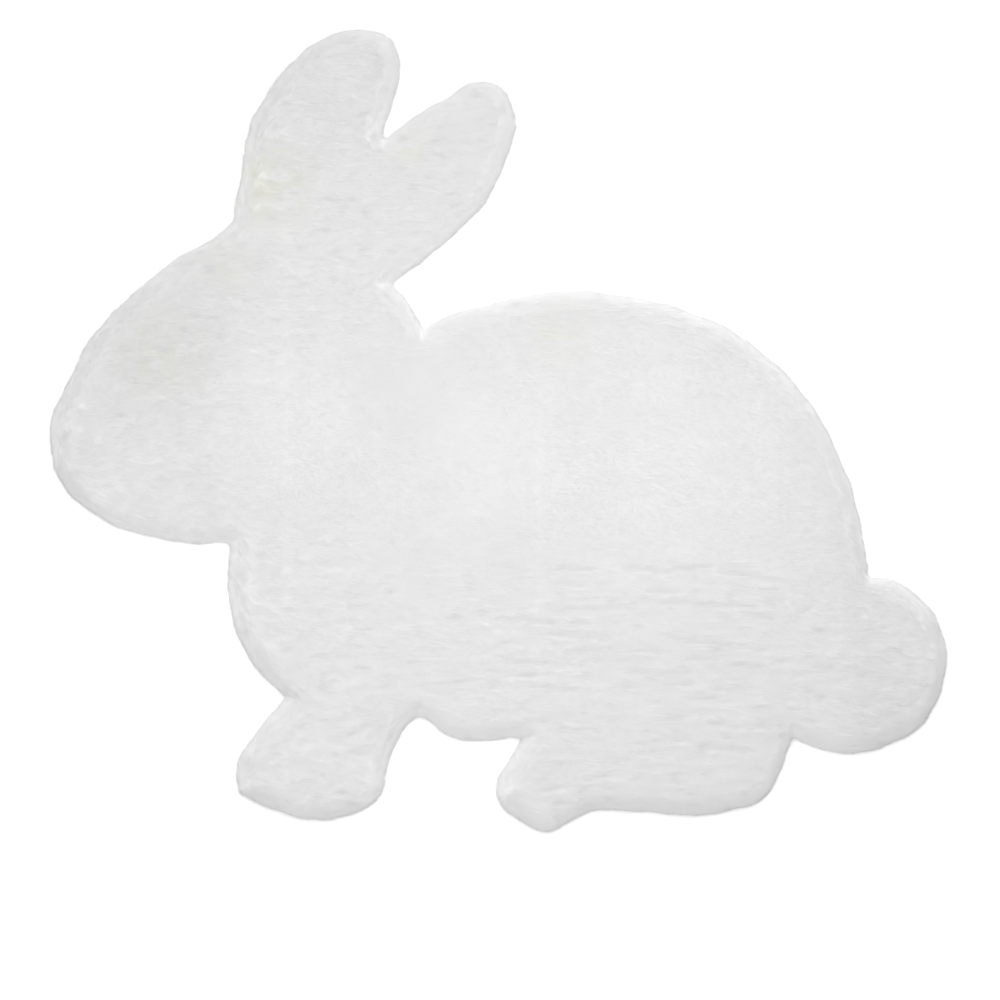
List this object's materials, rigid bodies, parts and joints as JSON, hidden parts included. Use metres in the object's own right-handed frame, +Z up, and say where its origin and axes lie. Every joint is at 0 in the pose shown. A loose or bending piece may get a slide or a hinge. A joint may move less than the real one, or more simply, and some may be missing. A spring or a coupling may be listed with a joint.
{
  "type": "rabbit shaped rug",
  "caption": "Flat plush pile rug for a child's room, cut to the outline of a sitting rabbit seen from the side.",
  "frame": {"origin": "on the floor, under the middle of the rug's box", "axes": "+Z up out of the floor, +X from the rabbit's nose to its tail, +Y towards the tips of its ears"},
  "size_m": [0.9002, 0.8064, 0.025],
  "materials": {
    "white_plush": "dense white plush pile, matt with a soft sheen"
  },
  "bodies": {
    "root": {"pile_rug": "white_plush"}
  },
  "joints": []
}
